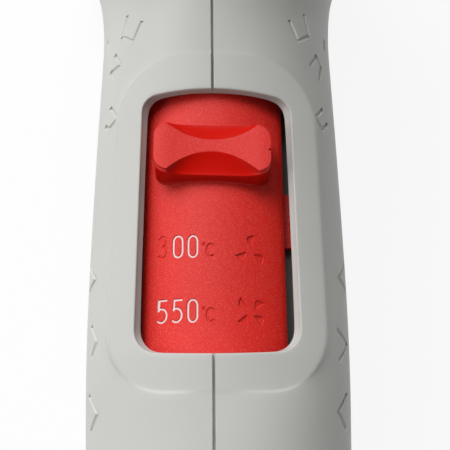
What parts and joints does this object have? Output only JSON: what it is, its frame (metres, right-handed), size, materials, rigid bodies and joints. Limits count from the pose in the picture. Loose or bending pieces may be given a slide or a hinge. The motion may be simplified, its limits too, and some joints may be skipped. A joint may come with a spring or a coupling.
{
  "type": "hot air tool",
  "caption": "Pistol-shaped electric hot air tool with a slide switch in its handle, steel nozzle, motor, fan and wound heater; it stands on its rear end, nozzle up.",
  "frame": {"origin": "on the barrel's axis, in the plane of the rear end that the tool stands on", "axes": "+Z along the barrel to the nozzle's mouth, -Y to the handle's side, +X to the right of someone who faces the slide switch; the housing parts in the plane X = 0"},
  "size_m": [0.071, 0.2211, 0.2359],
  "materials": {
    "housing_grey": "fine satin texture",
    "slide_red": "satin",
    "dark_nylon": "satin",
    "black_rubber": "matte",
    "nozzle_steel": "turned, satin",
    "motor_steel": "plated",
    "white_nylon": "satin",
    "mica": "layered mica, satin",
    "heating_wire": "oxidised",
    "board_green": "solder mask",
    "screw_steel": "plated"
  },
  "bodies": {
    "housing": {"left_shell": "housing_grey", "right_shell": "housing_grey", "rear_grille": "dark_nylon", "stand_ring": "black_rubber", "nose_guard": "dark_nylon", "nozzle_tube": "nozzle_steel", "mica_sleeve": "mica", "heater_base": "white_nylon", "heater_core": "mica", "heater_top_disc": "mica", "heater_winding": "heating_wire", "thermal_cutout": "motor_steel", "motor_can": "motor_steel", "rectifier_board": "board_green", "fan_duct": "white_nylon", "guide_tray": "dark_nylon", "switch_body": "dark_nylon", "suppression_capacitor": "white_nylon", "terminal_block": "white_nylon", "cord_bush": "black_rubber", "cord_clamp": "dark_nylon", "clamp_screw_1": "screw_steel", "clamp_screw_2": "screw_steel", "shell_screw_1": "screw_steel", "shell_screw_2": "screw_steel", "shell_screw_3": "screw_steel", "shell_screw_4": "screw_steel", "shell_screw_5": "screw_steel", "shell_screw_6": "screw_steel", "shell_screw_7": "screw_steel"},
    "slide": {"slide_button": "slide_red", "switch_carriage": "white_nylon"},
    "rotor": {"motor_shaft": "screw_steel", "fan_impeller": "white_nylon"}
  },
  "joints": [
    {"name": "slide_travel", "type": "slide", "parent": "housing", "child": "slide", "axis": [0, -0.9903, -0.1392], "range_m": [0, 0.0208]},
    {"name": "rotor_spin", "type": "hinge", "parent": "housing", "child": "rotor", "pos_m": [0, 0, 0], "axis": [0, 0, 1], "continuous": true}
  ]
}
